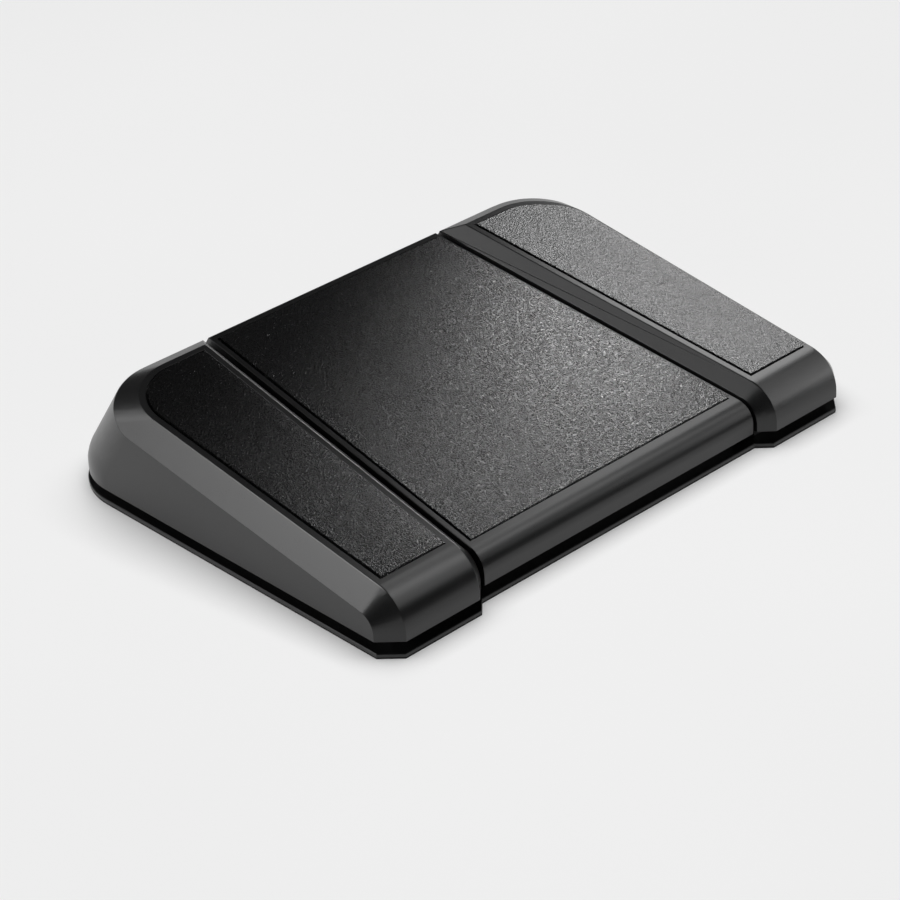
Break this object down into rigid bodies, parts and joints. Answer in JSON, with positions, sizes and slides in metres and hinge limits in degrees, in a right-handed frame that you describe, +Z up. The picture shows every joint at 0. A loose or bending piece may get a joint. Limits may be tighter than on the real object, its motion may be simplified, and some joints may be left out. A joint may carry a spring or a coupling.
{
  "type": "foot pedal switch",
  "caption": "Wide low foot switch with sloping hinged pedals on a flat steel plate, for sending key presses to a computer by foot.",
  "frame": {"origin": "centre of the footprint's bounding box, on the floor under the rubber mat", "axes": "+X to the right as the user's foot comes from the front, +Y towards the tall hinge end with the socket, +Z up"},
  "size_m": [0.242, 0.19, 0.0469],
  "materials": {
    "pedal_shell": "black moulded plastic, satin with a fine spark-eroded grain",
    "pedal_pad": "black leather-grain moulding, low sheen",
    "plate_paint": "black powder coat on steel, bare edge burnished",
    "mat_rubber": "black anti-slip rubber sheet",
    "chassis_plastic": "black glass-filled plastic",
    "steel": "ground steel",
    "zinc_steel": "zinc plated screws",
    "bushing_plastic": "natural acetal",
    "bumper_rubber": "soft black rubber",
    "board_laminate": "green solder mask on glass laminate",
    "chip_resin": "black epoxy package",
    "part_ceramic": "small ceramic and film parts",
    "switch_case": "black switch case",
    "plunger_plastic": "red switch plunger"
  },
  "bodies": {
    "base": {"rubber_mat": "mat_rubber", "base_plate": "plate_paint", "base_screws": "zinc_steel", "chassis": "chassis_plastic", "circuit_board": "board_laminate", "controller_chip": "chip_resin", "board_parts": "part_ceramic", "board_screws": "zinc_steel", "usb_shell": "steel", "usb_tongue": "chip_resin", "hinge_pin_left": "steel", "springs_left": "steel", "bumpers_left": "bumper_rubber", "switch_left": "switch_case", "hinge_pin_middle": "steel", "springs_middle": "steel", "bumpers_middle": "bumper_rubber", "switch_middle": "switch_case", "hinge_pin_right": "steel", "springs_right": "steel", "bumpers_right": "bumper_rubber", "switch_right": "switch_case"},
    "pedal_left": {"pedal_left": "pedal_shell", "pad_left": "pedal_pad", "bushings_left": "bushing_plastic", "striker_left": "bushing_plastic"},
    "plunger_left": {"plunger_left": "plunger_plastic"},
    "pedal_middle": {"pedal_middle": "pedal_shell", "pad_middle": "pedal_pad", "bushings_middle": "bushing_plastic", "striker_middle": "bushing_plastic"},
    "plunger_middle": {"plunger_middle": "plunger_plastic"},
    "pedal_right": {"pedal_right": "pedal_shell", "pad_right": "pedal_pad", "bushings_right": "bushing_plastic", "striker_right": "bushing_plastic"},
    "plunger_right": {"plunger_right": "plunger_plastic"}
  },
  "joints": [
    {"name": "press_left", "type": "hinge", "parent": "base", "child": "pedal_left", "pos_m": [-0.0895, 0.0733, 0.0125], "axis": [1, 0, 0], "range_deg": [0, 1.4], "stiffness_Nm_per_rad": 17, "springref_deg": -2.41, "deforming": ["springs_left"]},
    {"name": "press_middle", "type": "hinge", "parent": "base", "child": "pedal_middle", "pos_m": [0, 0.0733, 0.0125], "axis": [1, 0, 0], "range_deg": [0, 1.4], "stiffness_Nm_per_rad": 17, "springref_deg": -2.41, "deforming": ["springs_middle"]},
    {"name": "press_right", "type": "hinge", "parent": "base", "child": "pedal_right", "pos_m": [0.0895, 0.0733, 0.0125], "axis": [1, 0, 0], "range_deg": [0, 1.4], "stiffness_Nm_per_rad": 17, "springref_deg": -2.41, "deforming": ["springs_right"]},
    {"name": "plunger_left_travel", "type": "slide", "parent": "base", "child": "plunger_left", "axis": [0, 0, -1], "range_m": [0, 0.0011]},
    {"name": "plunger_middle_travel", "type": "slide", "parent": "base", "child": "plunger_middle", "axis": [0, 0, -1], "range_m": [0, 0.0011]},
    {"name": "plunger_right_travel", "type": "slide", "parent": "base", "child": "plunger_right", "axis": [0, 0, -1], "range_m": [0, 0.0011]}
  ],
  "couplings": [
    {"joint": "plunger_left_travel", "follows": "press_left", "m_per_rad": 0.044},
    {"joint": "plunger_middle_travel", "follows": "press_middle", "m_per_rad": 0.044},
    {"joint": "plunger_right_travel", "follows": "press_right", "m_per_rad": 0.044}
  ]
}
